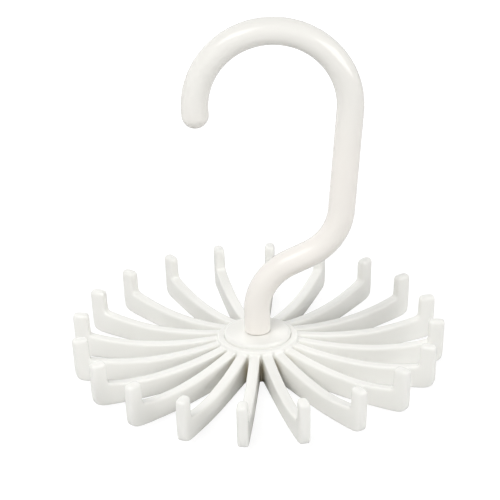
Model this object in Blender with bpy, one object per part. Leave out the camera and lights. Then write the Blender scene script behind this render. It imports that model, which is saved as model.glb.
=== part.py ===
"""Rotating tie hanger: a bent rod hook whose foot carries a wheel of twenty arms.

Metres, +Z up. The origin is on the spin axis, in the plane that the hub stands on.
The hook lies in the XZ plane. The hub, its bush and the arms turn about Z.
"""

import math

import bmesh
import bpy
from mathutils import Vector

# Fits
RUNNING_GAP = 0.0003
SEAT_GAP = 0.0003

# Wheel
WHEEL_DIAMETER = 0.140
ARM_COUNT = 20
WHEEL_TURN = math.radians(-5.0)

# Arms: thin ribs on edge, dished along the top, each ending in an upright finger
ARM_THICKNESS = 0.0040
ARM_ROOT_SPACE = 0.00076
ARM_ROOT_STEP = 0.0013
ARM_FOOT_LIFT = 0.0002
ARM_DISH = 0.0031
DISH_LOW_SHARE = 0.55
ARM_EDGE_RADIUS = 0.0010
BELLY_SHARE = 0.32
TAIL_RISE = 0.0031
FILLET_ROOM_SHARE = 1.1

# Fingers
FINGER_HEIGHT = 0.0087
FINGER_WIDTH = 0.0060
FINGER_TOP_RADIUS = 0.0019
FINGER_FOOT_RADIUS = 0.0016
FINGER_HEEL_RADIUS = 0.0030
FINGER_DRAFT = math.radians(2.0)

# Hub: a cored moulding with a skirt, a centre boss and ribs between them
HUB_HEIGHT = 0.0124
HUB_EDGE_RADIUS = 0.0010
SEAT_EDGE_RADIUS = 0.00025
HUB_FOOT_CHAMFER = 0.0004
RING_WIDTH = 0.0025
SKIRT_WALL = 0.0022
BOSS_WALL = 0.0018
HUB_ROOF = 0.0020
RIB_THICKNESS = 0.0016
RIB_COUNT = 10

# Bush: the raised disc on the hub, with a sleeve that lines the hub's bore
DISC_RISE = 0.0016
DISC_DEPTH = 0.0016
DISC_EDGE_RADIUS = 0.0007
SLEEVE_WALL = 0.0014
SLEEVE_SETBACK = 0.0006
BORE_CHAMFER = 0.0003

# Hook
ROD_DIAMETER = 0.0098
STEM_CHAMFER = 0.0005
CRANK_HEIGHT = 0.0215
CRANK_SLOPE = math.radians(25.4)
CRANK_LOWER_RADIUS = 0.0215
CRANK_UPPER_RADIUS = 0.0211
ARCH_RADIUS = 0.0277
ARCH_HEIGHT = 0.0883
ARCH_OFFSET = 0.0070
ARCH_OVERHANG = math.radians(5.3)
SHANK_LEAN = math.radians(4.6)

# Journal, washer and screw under the hub
JOURNAL_DIAMETER = 0.0060
JOURNAL_CHAMFER = 0.0004
PILOT_DEPTH = 0.0120
WASHER_DIAMETER = 0.0124
WASHER_THICKNESS = 0.0010
WASHER_CHAMFER = 0.0002
WASHER_CLEARANCE = 0.0006
RECESS_DEPTH = 0.0050
SCREW_DIAMETER = 0.0028
SCREW_LENGTH = 0.0110
SCREW_TIP_LENGTH = 0.0016
HEAD_DIAMETER = 0.0070
HEAD_HEIGHT = 0.0022
HEAD_CROWN_RADIUS = 0.0013
CROSS_LENGTH = 0.0036
CROSS_WIDTH = 0.0009
CROSS_DEPTH = 0.0012

# Facets and tools
ROD_SIDES = 24
TURN_STEPS = 44
SMALL_TURN_STEPS = 30
ARC_STEP = math.radians(7.5)
CORNER_STEP = math.radians(28.0)
DISH_POINTS = 8
TAIL_POINTS = 5
BALL_RINGS = 5
EDGE_SEGMENTS = 2
SMOOTH_ANGLE = math.radians(32.0)
WELD_DISTANCE = 0.000001
CUT_OVERRUN = 0.001

# Heights and radii that follow from the sizes above
ARM_PITCH = math.tau / ARM_COUNT
WHEEL_RADIUS = WHEEL_DIAMETER / 2
HUB_RADIUS = (ARM_THICKNESS + ARM_ROOT_SPACE) / (2 * math.sin(ARM_PITCH / 2))
DISC_RADIUS = HUB_RADIUS - RING_WIDTH - SEAT_GAP
DISC_TOP = HUB_HEIGHT + DISC_RISE
DISC_UNDERSIDE = HUB_HEIGHT - DISC_DEPTH
SEAT_FLOOR = DISC_UNDERSIDE - SEAT_GAP
STEM_FOOT = DISC_TOP + RUNNING_GAP
ROD_RADIUS = ROD_DIAMETER / 2
JOURNAL_RADIUS = JOURNAL_DIAMETER / 2
SLEEVE_BORE = JOURNAL_RADIUS + RUNNING_GAP
SLEEVE_RADIUS = SLEEVE_BORE + SLEEVE_WALL
HUB_BORE = SLEEVE_RADIUS + SEAT_GAP
WASHER_RADIUS = WASHER_DIAMETER / 2
RECESS_RADIUS = WASHER_RADIUS + WASHER_CLEARANCE
WASHER_TOP = RECESS_DEPTH - RUNNING_GAP
WASHER_UNDERSIDE = WASHER_TOP - WASHER_THICKNESS
SCREW_RADIUS = SCREW_DIAMETER / 2
PILOT_RADIUS = SCREW_RADIUS + SEAT_GAP
HEAD_TOP = WASHER_UNDERSIDE - SEAT_GAP
ARM_ROOT = HUB_RADIUS + SEAT_GAP


def clear_scene():
    for item in list(bpy.data.objects):
        bpy.data.objects.remove(item, do_unlink=True)


def finish_material(name, colour, roughness, metallic=0.0):
    material = bpy.data.materials.new(name)
    material.use_nodes = True
    shader = material.node_tree.nodes["Principled BSDF"]
    shader.inputs["Base Color"].default_value = (*colour, 1.0)
    shader.inputs["Roughness"].default_value = roughness
    shader.inputs["Metallic"].default_value = metallic
    return material


def place(name, mesh, parent, turn=0.0):
    """Link an object with this mesh under its parent, turned about the spin axis."""
    item = bpy.data.objects.new(name, mesh)
    bpy.context.scene.collection.objects.link(item)
    item.parent = parent
    item.rotation_euler.z = turn
    return item


def pivot(name, turn=0.0):
    """Add an empty on the spin axis to carry the pieces of one moving body."""
    return place(name, None, None, turn)


def mesh_from(name, bm, material):
    bmesh.ops.recalc_face_normals(bm, faces=bm.faces)
    mesh = bpy.data.meshes.new(name)
    bm.to_mesh(mesh)
    bm.free()
    mesh.shade_smooth()
    mesh.set_sharp_from_angle(angle=SMOOTH_ANGLE)
    if material:
        mesh.materials.append(material)
    return mesh


def cutter(item):
    """Mark an object as a cutting tool, which isn't part of the hanger."""
    item.hide_render = True
    item.display_type = "WIRE"
    return item


def cut(item, tool):
    boolean = item.modifiers.new("cut_" + tool.name, "BOOLEAN")
    boolean.operation = "DIFFERENCE"
    boolean.solver = "EXACT"
    boolean.object = tool


def round_corner(before, corner, after, radius, step):
    """Return the points of the arc that rounds one corner of a path of (across, up) pairs."""
    into = (corner - before).normalized()
    out = (after - corner).normalized()
    turn = into.angle_signed(out)
    if radius == 0 or turn == 0:
        return [corner]
    setback = radius * math.tan(abs(turn) / 2)
    start = corner - into * setback
    side = math.copysign(1.0, turn)
    centre = start + Vector((into.y, -into.x)) * side * radius
    count = max(2, math.ceil(abs(turn) / step))
    arm = start - centre
    points = []
    for index in range(count + 1):
        angle = -turn * index / count
        spoke = Vector((arm.x * math.cos(angle) - arm.y * math.sin(angle),
                        arm.x * math.sin(angle) + arm.y * math.cos(angle)))
        points.append(centre + spoke)
    return points


def round_path(corners, step, closed=False):
    """Round every corner of a path, given as (across, up, radius) rows."""
    spots = [Vector((across, up)) for across, up, _ in corners]
    radii = [radius for _, _, radius in corners]
    points = []
    for index, spot in enumerate(spots):
        at_end = index in (0, len(spots) - 1)
        if at_end and not closed:
            points.append(spot)
            continue
        after = spots[(index + 1) % len(spots)]
        points += round_corner(spots[index - 1], spot, after, radii[index], step)
    return points


def turned_mesh(name, profile, material, closed, steps=TURN_STEPS):
    """Turn a profile of (radius, height) points about the spin axis.

    A closed profile makes a bored piece. An open one starts and ends on the axis.
    """
    bm = bmesh.new()
    spots = [bm.verts.new((radius, 0, height)) for radius, height in profile]
    lines = [bm.edges.new(pair) for pair in zip(spots, spots[1:])]
    if closed:
        lines.append(bm.edges.new((spots[-1], spots[0])))
    bmesh.ops.spin(bm, geom=spots + lines, axis=(0, 0, 1), cent=(0, 0, 0),
                   angle=math.tau, steps=steps, use_merge=True)
    bmesh.ops.remove_doubles(bm, verts=bm.verts, dist=WELD_DISTANCE)
    return mesh_from(name, bm, material)


def swept_mesh(name, stations, material):
    """Skin round rings along a path in the XZ plane; a station is (spot, heading, radius)."""
    bm = bmesh.new()
    rings = []
    for spot, heading, radius in stations:
        middle = Vector((spot.x, 0, spot.y))
        across = Vector((-heading.y, 0, heading.x))
        ring = []
        for index in range(ROD_SIDES):
            angle = math.tau * index / ROD_SIDES
            spoke = across * math.cos(angle) + Vector((0, math.sin(angle), 0))
            ring.append(bm.verts.new(middle + spoke * radius))
        rings.append(ring)
    for ring, following in zip(rings, rings[1:]):
        for index in range(ROD_SIDES):
            beside = (index + 1) % ROD_SIDES
            bm.faces.new((ring[index], ring[beside], following[beside], following[index]))
    bm.faces.new(rings[0])
    bm.faces.new(rings[-1])
    return mesh_from(name, bm, material)


def prism(bm, outline, low, high):
    """Add a prism over a flat outline of (x, y) points between two heights."""
    spots = [bm.verts.new((x, y, low)) for x, y in outline]
    base = bm.faces.new(spots)
    raised = bmesh.ops.extrude_face_region(bm, geom=[base])["geom"]
    tops = [part for part in raised if isinstance(part, bmesh.types.BMVert)]
    bmesh.ops.translate(bm, verts=tops, vec=(0, 0, high - low))


def hook_path():
    """Return the hook's centre line from its free end to the stem, as (x, z) points."""
    arch_centre = Vector((ARCH_OFFSET, STEM_FOOT + ARCH_HEIGHT))
    sweep = math.pi + ARCH_OVERHANG + SHANK_LEAN
    count = math.ceil(sweep / ARC_STEP)
    path = []
    for index in range(count + 1):
        angle = math.pi + ARCH_OVERHANG - sweep * index / count
        path.append(arch_centre + Vector((math.cos(angle), math.sin(angle))) * ARCH_RADIUS)
    crank_foot = Vector((0, STEM_FOOT + CRANK_HEIGHT))
    along = Vector((math.cos(CRANK_SLOPE), math.sin(CRANK_SLOPE)))
    down = Vector((-math.sin(SHANK_LEAN), -math.cos(SHANK_LEAN)))
    shank_top = path[-1]
    span = crank_foot - shank_top
    reach = (span.x * down.y - span.y * down.x) / (along.y * down.x - along.x * down.y)
    crank_head = crank_foot + along * reach
    path += round_corner(shank_top, crank_head, crank_foot, CRANK_UPPER_RADIUS, ARC_STEP)
    stem_foot = Vector((0, STEM_FOOT))
    path += round_corner(crank_head, crank_foot, stem_foot, CRANK_LOWER_RADIUS, ARC_STEP)
    return path


def hook_stations():
    """Give every ring of the hook: ball end, rod, stem foot, journal and pilot hole."""
    path = hook_path()
    start = (path[1] - path[0]).normalized()
    stations = []
    for index in range(1, BALL_RINGS):
        angle = math.pi / 2 * index / BALL_RINGS
        spot = path[0] - start * ROD_RADIUS * math.cos(angle)
        stations.append((spot, start, ROD_RADIUS * math.sin(angle)))
    for before, spot, after in zip([path[0]] + path, path, path[1:] + [path[-1]]):
        stations.append((spot, (after - before).normalized(), ROD_RADIUS))
    stem = [
        (STEM_FOOT + STEM_CHAMFER, ROD_RADIUS),
        (STEM_FOOT, ROD_RADIUS - STEM_CHAMFER),
        (STEM_FOOT, JOURNAL_RADIUS),
        (RECESS_DEPTH + JOURNAL_CHAMFER, JOURNAL_RADIUS),
        (RECESS_DEPTH, JOURNAL_RADIUS - JOURNAL_CHAMFER),
        (RECESS_DEPTH, PILOT_RADIUS),
        (RECESS_DEPTH + PILOT_DEPTH, PILOT_RADIUS),
    ]
    downward = Vector((0, -1))
    stations[-1] = (path[-1], downward, ROD_RADIUS)
    stations += [(Vector((0, height)), downward, radius) for height, radius in stem]
    return stations


def build_hook(parent, material):
    place("hook", swept_mesh("hook", hook_stations(), material), parent)


def hub_profile():
    """Outline of the hub's section, from the disc's seat round the skirt to the bore."""
    return round_path([
        (HUB_RADIUS - RING_WIDTH, SEAT_FLOOR, 0),
        (HUB_RADIUS - RING_WIDTH, HUB_HEIGHT, SEAT_EDGE_RADIUS),
        (HUB_RADIUS, HUB_HEIGHT, HUB_EDGE_RADIUS),
        (HUB_RADIUS, HUB_FOOT_CHAMFER, 0),
        (HUB_RADIUS - HUB_FOOT_CHAMFER, 0, 0),
        (RECESS_RADIUS + HUB_FOOT_CHAMFER, 0, 0),
        (RECESS_RADIUS, HUB_FOOT_CHAMFER, 0),
        (RECESS_RADIUS, RECESS_DEPTH, 0),
        (HUB_BORE, RECESS_DEPTH, 0),
        (HUB_BORE, SEAT_FLOOR, 0),
    ], CORNER_STEP, closed=True)


def pocket_outline(first, last, inner, outer):
    """Outline of the pocket between two ribs, whose middles are at these angles."""
    points = []
    count = math.ceil((last - first) / ARC_STEP)
    for radius, ordered in ((inner, 1), (outer, -1)):
        inset = math.asin(RIB_THICKNESS / 2 / radius)
        sweep = last - first - 2 * inset
        angles = [first + inset + sweep * index / count for index in range(count + 1)]
        points += [(radius * math.cos(a), radius * math.sin(a)) for a in angles[::ordered]]
    return points


def build_hub(parent, material):
    hub = place("wheel_hub", turned_mesh("wheel_hub", hub_profile(), material, True), parent)
    bm = bmesh.new()
    for index in range(RIB_COUNT):
        first = math.tau * index / RIB_COUNT
        outline = pocket_outline(first, first + math.tau / RIB_COUNT,
                                 RECESS_RADIUS + BOSS_WALL, HUB_RADIUS - SKIRT_WALL)
        prism(bm, outline, -CUT_OVERRUN, SEAT_FLOOR - HUB_ROOF)
    pockets = cutter(place("hub_pockets", mesh_from("hub_pockets", bm, None), parent))
    cut(hub, pockets)


def build_bush(parent, material):
    """The raised disc and the sleeve that the journal turns in, as one piece."""
    profile = round_path([
        (SLEEVE_BORE + BORE_CHAMFER, DISC_TOP, 0),
        (DISC_RADIUS, DISC_TOP, DISC_EDGE_RADIUS),
        (DISC_RADIUS, DISC_UNDERSIDE, 0),
        (SLEEVE_RADIUS, DISC_UNDERSIDE, 0),
        (SLEEVE_RADIUS, RECESS_DEPTH + SLEEVE_SETBACK, BORE_CHAMFER),
        (SLEEVE_BORE, RECESS_DEPTH + SLEEVE_SETBACK, 0),
        (SLEEVE_BORE, DISC_TOP - BORE_CHAMFER, 0),
    ], CORNER_STEP, closed=True)
    place("hub_bush", turned_mesh("hub_bush", profile, material, True), parent)


def dish_height(share):
    """Height of an arm's top edge at a share of the way from its root to its finger."""
    root_top = HUB_HEIGHT - ARM_ROOT_STEP
    half_span = DISH_LOW_SHARE if share < DISH_LOW_SHARE else 1 - DISH_LOW_SHARE
    return root_top - ARM_DISH * (1 - ((share - DISH_LOW_SHARE) / half_span) ** 2)


def arm_outline():
    """Side view of one arm as (radius, height) points, anticlockwise from the root's foot."""
    heel = WHEEL_RADIUS - FINGER_HEEL_RADIUS * FILLET_ROOM_SHARE
    belly = ARM_ROOT + (heel - ARM_ROOT) * BELLY_SHARE
    corners = [(ARM_ROOT, ARM_FOOT_LIFT, 0)]
    for index in range(TAIL_POINTS):
        share = index / (TAIL_POINTS - 1)
        height = ARM_FOOT_LIFT + TAIL_RISE * share ** 2
        corners.append((belly + (heel - belly) * share, height, 0))
    foot_line = dish_height(1)
    tip = foot_line + FINGER_HEIGHT
    lean = math.tan(FINGER_DRAFT)
    heel_height = corners[-1][1] + 2 * TAIL_RISE / (heel - belly) * (WHEEL_RADIUS - heel)
    finger_foot = WHEEL_RADIUS - FINGER_WIDTH - FINGER_HEIGHT * lean
    corners += [
        (WHEEL_RADIUS - (tip - heel_height) * lean, heel_height, FINGER_HEEL_RADIUS),
        (WHEEL_RADIUS, tip, FINGER_TOP_RADIUS),
        (WHEEL_RADIUS - FINGER_WIDTH, tip, FINGER_TOP_RADIUS),
        (finger_foot, foot_line, FINGER_FOOT_RADIUS),
    ]
    foot_end = finger_foot - FINGER_FOOT_RADIUS * FILLET_ROOM_SHARE
    for index in range(DISH_POINTS):
        radius = foot_end + (ARM_ROOT - foot_end) * index / (DISH_POINTS - 1)
        share = (radius - ARM_ROOT) / (finger_foot - ARM_ROOT)
        corners.append((radius, dish_height(share), 0))
    return round_path(corners, CORNER_STEP, closed=True)


def arm_mesh(material):
    """One arm on edge along +X, half its thickness on each side of the XZ plane."""
    bm = bmesh.new()
    weights = bm.edges.layers.float.new("bevel_weight_edge")
    half = ARM_THICKNESS / 2
    spots = [bm.verts.new((radius, -half, height)) for radius, height in arm_outline()]
    side = bm.faces.new(spots)
    raised = bmesh.ops.extrude_face_region(bm, geom=[side])["geom"]
    moved = [part for part in raised if isinstance(part, bmesh.types.BMVert)]
    bmesh.ops.translate(bm, verts=moved, vec=(0, ARM_THICKNESS, 0))
    for edge in bm.edges:
        first, second = (vert.co for vert in edge.verts)
        along_side = abs(first.y - second.y) < WELD_DISTANCE
        at_root = max(first.x, second.x) < ARM_ROOT + WELD_DISTANCE
        edge[weights] = 1.0 if along_side and not at_root else 0.0
    return mesh_from("arm", bm, material)


def build_arms(parent, material):
    mesh = arm_mesh(material)
    for index in range(ARM_COUNT):
        arm = place(f"arm_{index + 1:02d}", mesh, parent, index * ARM_PITCH)
        rounding = arm.modifiers.new("rounded_edges", "BEVEL")
        rounding.limit_method = "WEIGHT"
        rounding.width = ARM_EDGE_RADIUS
        rounding.segments = EDGE_SEGMENTS


def build_washer(parent, material):
    profile = [
        (WASHER_RADIUS, WASHER_TOP),
        (WASHER_RADIUS, WASHER_UNDERSIDE + WASHER_CHAMFER),
        (WASHER_RADIUS - WASHER_CHAMFER, WASHER_UNDERSIDE),
        (PILOT_RADIUS, WASHER_UNDERSIDE),
        (PILOT_RADIUS, WASHER_TOP),
    ]
    mesh = turned_mesh("retaining_washer", profile, material, True, SMALL_TURN_STEPS)
    place("retaining_washer", mesh, parent)


def build_screw(parent, material):
    """A pan head screw, point up, that holds the washer on the journal's end."""
    head_radius = HEAD_DIAMETER / 2
    point = HEAD_TOP + SCREW_LENGTH
    profile = round_path([
        (0, point, 0),
        (SCREW_RADIUS, point - SCREW_TIP_LENGTH, 0),
        (SCREW_RADIUS, HEAD_TOP, 0),
        (head_radius, HEAD_TOP, 0),
        (head_radius, HEAD_TOP - HEAD_HEIGHT, HEAD_CROWN_RADIUS),
        (0, HEAD_TOP - HEAD_HEIGHT, 0),
    ], CORNER_STEP)
    mesh = turned_mesh("retaining_screw", profile, material, False, SMALL_TURN_STEPS)
    screw = place("retaining_screw", mesh, parent)
    bottom = HEAD_TOP - HEAD_HEIGHT
    half_length = CROSS_LENGTH / 2
    half_width = CROSS_WIDTH / 2
    bm = bmesh.new()
    cross = [
        (half_width, half_width), (half_width, half_length),
        (-half_width, half_length), (-half_width, half_width),
        (-half_length, half_width), (-half_length, -half_width),
        (-half_width, -half_width), (-half_width, -half_length),
        (half_width, -half_length), (half_width, -half_width),
        (half_length, -half_width), (half_length, half_width),
    ]
    prism(bm, cross, bottom - CUT_OVERRUN, bottom + CROSS_DEPTH)
    tool = cutter(place("cross_recess", mesh_from("cross_recess", bm, None), parent))
    cut(screw, tool)


def main():
    clear_scene()
    hook_white = finish_material("hook_white", (0.86, 0.85, 0.82), 0.22)
    wheel_white = finish_material("wheel_white", (0.87, 0.87, 0.86), 0.38)
    steel = finish_material("zinc_steel", (0.62, 0.62, 0.60), 0.35, 1.0)
    fixed = pivot("hook_pivot")
    turning = pivot("wheel_pivot", WHEEL_TURN)
    build_hook(fixed, hook_white)
    build_washer(fixed, steel)
    build_screw(fixed, steel)
    build_hub(turning, wheel_white)
    build_bush(turning, wheel_white)
    build_arms(turning, wheel_white)


main()
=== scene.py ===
"""Looks of a rotating tie hanger: a glossy rod hook that carries a wheel of twenty moulded arms.

Metres, +Z up. The spin axis is the Z axis, and the hook lies in the XZ plane.
"""

import math

import bmesh
import bpy
from bpy.props import FloatProperty, FloatVectorProperty, IntProperty, PointerProperty
from mathutils import Matrix, Vector


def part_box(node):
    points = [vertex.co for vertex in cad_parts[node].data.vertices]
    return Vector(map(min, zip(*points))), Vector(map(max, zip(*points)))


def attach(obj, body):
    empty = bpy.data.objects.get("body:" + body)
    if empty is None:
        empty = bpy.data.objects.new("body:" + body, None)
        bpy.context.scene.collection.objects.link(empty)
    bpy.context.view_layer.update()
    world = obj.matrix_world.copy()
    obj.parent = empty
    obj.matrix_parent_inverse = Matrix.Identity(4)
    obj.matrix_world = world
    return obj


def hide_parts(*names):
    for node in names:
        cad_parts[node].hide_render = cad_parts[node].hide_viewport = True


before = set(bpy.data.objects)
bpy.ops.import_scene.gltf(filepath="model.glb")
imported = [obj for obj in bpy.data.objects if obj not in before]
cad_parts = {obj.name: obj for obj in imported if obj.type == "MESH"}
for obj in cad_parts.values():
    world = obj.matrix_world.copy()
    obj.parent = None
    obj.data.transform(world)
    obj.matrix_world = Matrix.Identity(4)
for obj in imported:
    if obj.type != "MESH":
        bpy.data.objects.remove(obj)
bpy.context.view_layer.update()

bl_info = {
    "name": "Rotating tie hanger",
    "version": (1, 0, 0),
    "blender": (4, 5, 0),
    "location": "3D View > Sidebar > Hanger",
    "description": "Models a white rod hook with a turning wheel of arms for ties",
    "category": "Add Mesh",
}

HUB_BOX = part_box("wheel_hub")
DISC_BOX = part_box("hub_bush")
WASHER_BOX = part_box("retaining_washer")
SCREW_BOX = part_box("retaining_screw")
FINGER_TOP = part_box("arm_01")[1].z
ARM_NODES = sorted(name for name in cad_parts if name.startswith("arm_"))
ARM_COUNT = len(ARM_NODES)
ARM_PITCH = math.tau / ARM_COUNT

# How near two places are to count as one, for picking and for merging
CLOSE = 0.00002
WELD = 0.000005
SMOOTH_ANGLE = math.radians(34)
BEND_STEP = math.radians(3.0)
WHITE = (1, 1, 1, 1)


class HangerHookSizes(bpy.types.PropertyGroup):
    """Sizes of the rod hook."""

    rod: FloatProperty(
        name="Rod diameter", description="Thickness of the round rod",
        default=0.0098, min=0.001, subtype="DISTANCE")
    stem_foot: FloatProperty(
        name="Stem foot height", description="Height of the stem's foot, just over the raised disc",
        default=DISC_BOX[1].z + 0.00015, subtype="DISTANCE")
    foot_rounding: FloatProperty(
        name="Foot rounding", description="Rounding of the stem's foot",
        default=0.0005, subtype="DISTANCE")
    crank_height: FloatProperty(
        name="Crank height", description="Rise from the stem's foot to the corner of the crank",
        default=0.02165, subtype="DISTANCE")
    crank_slope: FloatProperty(
        name="Crank slope", description="Slope of the crank above the horizontal",
        default=math.radians(25.4), subtype="ANGLE")
    lower_bend: FloatProperty(
        name="Lower bend radius", description="Bend between the stem and the crank",
        default=0.0215, subtype="DISTANCE")
    upper_bend: FloatProperty(
        name="Upper bend radius", description="Bend between the crank and the shank",
        default=0.0211, subtype="DISTANCE")
    arch_radius: FloatProperty(
        name="Arch radius", description="Radius of the arch's centre line",
        default=0.0277, subtype="DISTANCE")
    arch_height: FloatProperty(
        name="Arch height", description="Rise from the stem's foot to the arch's centre",
        default=0.08845, subtype="DISTANCE")
    arch_offset: FloatProperty(
        name="Arch offset", description="Distance of the arch's centre from the spin axis",
        default=0.0070, subtype="DISTANCE")
    arch_overhang: FloatProperty(
        name="Arch overhang", description="How far the arch runs on past half a turn at its free end",
        default=math.radians(5.3), subtype="ANGLE")
    shank_lean: FloatProperty(
        name="Shank lean", description="Lean of the long straight shank from the vertical",
        default=math.radians(4.6), subtype="ANGLE")
    journal: FloatProperty(
        name="Journal diameter", description="Thickness of the pin that the wheel turns on",
        default=0.0060, subtype="DISTANCE")
    journal_foot: FloatProperty(
        name="Journal foot height", description="Height of the journal's lower end",
        default=WASHER_BOX[1].z + 0.0003, subtype="DISTANCE")
    pilot: FloatProperty(
        name="Pilot hole diameter", description="Width of the screw's hole in the journal",
        default=0.0034, subtype="DISTANCE")
    pilot_depth: FloatProperty(
        name="Pilot hole depth", description="Depth of the screw's hole in the journal",
        default=0.0120, subtype="DISTANCE")


class HangerWheelSizes(bpy.types.PropertyGroup):
    """Sizes of the wheel: hub, arms and fingers."""

    rim: FloatProperty(
        name="Rim radius", description="Distance from the axis to a finger's outer face, at its tip",
        default=0.0700, subtype="DISTANCE")
    turn: FloatProperty(
        name="Rest turn", description="Angle of the first arm from the hook's plane",
        default=math.radians(-5.0), subtype="ANGLE")
    thickness: FloatProperty(
        name="Arm thickness", description="Thickness of an arm on edge",
        default=0.0040, subtype="DISTANCE")
    softness: FloatProperty(
        name="Edge softness", description="How far in from an arm's edge its rounding starts",
        default=0.0015, subtype="DISTANCE")
    root_step: FloatProperty(
        name="Root step", description="Drop from the hub's ring to an arm's top at its root",
        default=0.0013, subtype="DISTANCE")
    dish: FloatProperty(
        name="Arm dish", description="Depth of the hollow along an arm's top",
        default=0.0031, subtype="DISTANCE")
    tail_rise: FloatProperty(
        name="Tail rise", description="Rise of an arm's underside from its belly to its heel",
        default=0.0031, subtype="DISTANCE")
    foot_lift: FloatProperty(
        name="Belly lift", description="Height of an arm's belly over the hub's underside",
        default=0.0002, subtype="DISTANCE")
    finger_width: FloatProperty(
        name="Finger width", description="Width of a finger along the arm",
        default=0.0060, subtype="DISTANCE")
    tip_rounding: FloatProperty(
        name="Tip rounding", description="Radius of the rounding at a finger's top",
        default=0.0015, subtype="DISTANCE")
    corner_softness: FloatProperty(
        name="Corner softness", description="How far a finger's upright corners are drawn in",
        default=0.00025, subtype="DISTANCE")
    finger_lean: FloatProperty(
        name="Finger lean", description="Outward lean of a finger",
        default=math.radians(2.0), subtype="ANGLE")
    heel: FloatProperty(
        name="Heel rounding", description="Size of the rounding where an arm's underside meets its finger",
        default=0.0030, subtype="DISTANCE")
    ring_width: FloatProperty(
        name="Ring width", description="Width of the hub's ring round the raised disc",
        default=0.0025, subtype="DISTANCE")
    skirt: FloatProperty(
        name="Skirt wall", description="Thickness of the hub's outer wall",
        default=0.0022, subtype="DISTANCE")
    boss: FloatProperty(
        name="Boss wall", description="Thickness of the wall round the washer's recess",
        default=0.0018, subtype="DISTANCE")
    roof: FloatProperty(
        name="Hub roof", description="Thickness of the hub over its pockets",
        default=0.0020, subtype="DISTANCE")
    rib: FloatProperty(
        name="Rib thickness", description="Thickness of the ribs between the pockets",
        default=0.0016, subtype="DISTANCE")
    ribs: IntProperty(name="Ribs", description="Number of ribs under the hub", default=10, min=2)
    recess: FloatProperty(
        name="Recess radius", description="Radius of the washer's recess under the hub",
        default=0.0068, subtype="DISTANCE")
    recess_depth: FloatProperty(
        name="Recess depth", description="Depth of the washer's recess under the hub",
        default=0.0050, subtype="DISTANCE")
    bore: FloatProperty(
        name="Bore radius", description="Radius of the hub's bore round the bush's sleeve",
        default=0.0050, subtype="DISTANCE")
    seat_depth: FloatProperty(
        name="Seat depth", description="Depth of the seat of the raised disc below the ring",
        default=0.0019, subtype="DISTANCE")


class HangerFinish(bpy.types.PropertyGroup):
    """Colours and gloss."""

    hook_colour: FloatVectorProperty(
        name="Hook colour", description="Warm white of the hook's stem and shank",
        default=(0.880, 0.846, 0.799), subtype="COLOR", min=0, max=1)
    # Painted shade: the arch's darker, cooler white stands in for how the light falls on the top of the
    # hook
    arch_shade_colour: FloatVectorProperty(
        name="Arch colour", description="Slightly cooler white of the hook's arch",
        default=(0.831, 0.817, 0.775), subtype="COLOR", min=0, max=1)
    wheel_colour: FloatVectorProperty(
        name="Wheel colour", description="Cooler white of the moulded wheel",
        default=(0.888, 0.883, 0.846), subtype="COLOR", min=0, max=1)
    disc_colour: FloatVectorProperty(
        name="Disc colour", description="White of the raised disc and its sleeve",
        default=(0.868, 0.863, 0.825), subtype="COLOR", min=0, max=1)
    # Painted shade: a darker, warmer white for deep between the arms' roots, where shade falls
    crevice_shade_colour: FloatVectorProperty(
        name="Crevice colour", description="Duller, warmer white deep between the arms' roots",
        default=(0.64, 0.59, 0.47), subtype="COLOR", min=0, max=1)
    steel_colour: FloatVectorProperty(
        name="Steel colour", description="Bright zinc plate of the washer and the screw",
        default=(0.62, 0.62, 0.60), subtype="COLOR", min=0, max=1)
    hook_roughness: FloatProperty(
        name="Hook roughness", description="Roughness of the glossy hook",
        default=0.075, min=0, max=1, subtype="FACTOR")
    wheel_roughness: FloatProperty(
        name="Wheel roughness", description="Roughness of the satin wheel",
        default=0.225, min=0, max=1, subtype="FACTOR")


class HangerStage(bpy.types.PropertyGroup):
    """Camera, floor and lights."""

    camera_place: FloatVectorProperty(
        name="Camera place", description="Where the camera stands",
        default=(-0.0010, -0.5525, 0.2910), subtype="TRANSLATION")
    camera_aim: FloatVectorProperty(
        name="Camera aim", description="The point in the middle of the picture",
        default=(-0.00215, 0, 0.0471), subtype="TRANSLATION")
    camera_roll: FloatProperty(
        name="Camera roll", description="Turn of the camera about its own axis",
        default=math.radians(-1.29), subtype="ANGLE")
    lens: FloatProperty(
        name="Focal length", description="Focal length in millimetres", default=118.0, min=1)
    floor_size: FloatProperty(
        name="Floor size", description="Side of the square floor",
        default=6.0, subtype="DISTANCE")
    sky: FloatProperty(
        name="Sky strength", description="Light from all round, where 1 is a white surround",
        default=0.12, min=0)
    key: FloatProperty(
        name="Key light", description="Power of the bright light at the upper left, in watts",
        default=2.2, min=0, subtype="POWER")
    soft: FloatProperty(
        name="Soft light", description="Power of the soft panel round the key light, in watts",
        default=6.8, min=0, subtype="POWER")
    right: FloatProperty(
        name="Right light", description="Power of the wide light at the front right, in watts",
        default=6.4, min=0, subtype="POWER")
    side: FloatProperty(
        name="Side panel", description="Power of the soft panel at the right, in watts",
        default=5.7, min=0, subtype="POWER")
    rear: FloatProperty(
        name="Rear panel", description="Power of the soft panel at the left and behind, in watts",
        default=3.5, min=0, subtype="POWER")
    back: FloatProperty(
        name="Back panel", description="Power of the soft panel behind the object, in watts",
        default=4.8, min=0, subtype="POWER")


class Value:
    """A socket in a node tree. Arithmetic on it adds Math nodes."""

    def __init__(self, nodes, socket):
        self.nodes = nodes
        self.socket = socket

    def math(self, operation, *others):
        sockets = dict(enumerate((self, *others)))
        return self.nodes.node("ShaderNodeMath", sockets, operation=operation)

    def __add__(self, other):
        return self.math("ADD", other)

    __radd__ = __add__

    def __mul__(self, other):
        return self.math("MULTIPLY", other)

    def __sub__(self, other):
        return self.math("SUBTRACT", other)

    def __rsub__(self, other):
        return self.nodes.node("ShaderNodeMath", {0: other, 1: self}, operation="SUBTRACT")

    def __pow__(self, other):
        return self.math("POWER", other)


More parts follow.
